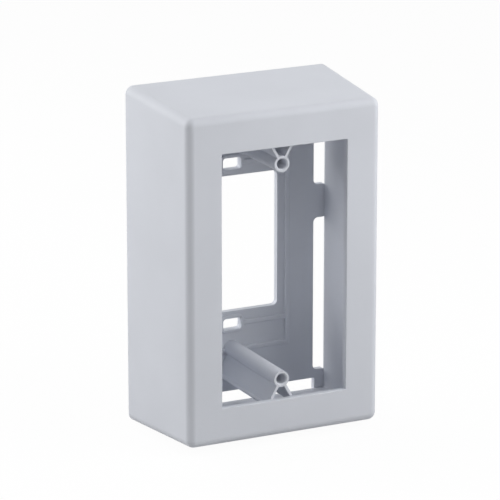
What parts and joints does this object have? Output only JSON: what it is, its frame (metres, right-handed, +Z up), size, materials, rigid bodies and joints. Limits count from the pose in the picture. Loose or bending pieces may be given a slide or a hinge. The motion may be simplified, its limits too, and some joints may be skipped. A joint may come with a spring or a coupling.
{
  "type": "surface electrical box",
  "caption": "Plastic surface box for one wall device: a flared cover with a framed window, seated over a slotted base plate with two finned screw posts.",
  "frame": {"origin": "centre of the rear rim, on the plane of the wall, midway between the two wall slots", "axes": "+Y into the wall, +Z up, +X to the right for someone facing the wall"},
  "size_m": [0.085, 0.048, 0.1318],
  "materials": {
    "cover": "fine satin moulded surface, cool white",
    "base_plate": "plain moulded surface, cool white"
  },
  "bodies": {
    "root": {"cover": "cover", "base_plate": "base_plate"}
  },
  "joints": []
}
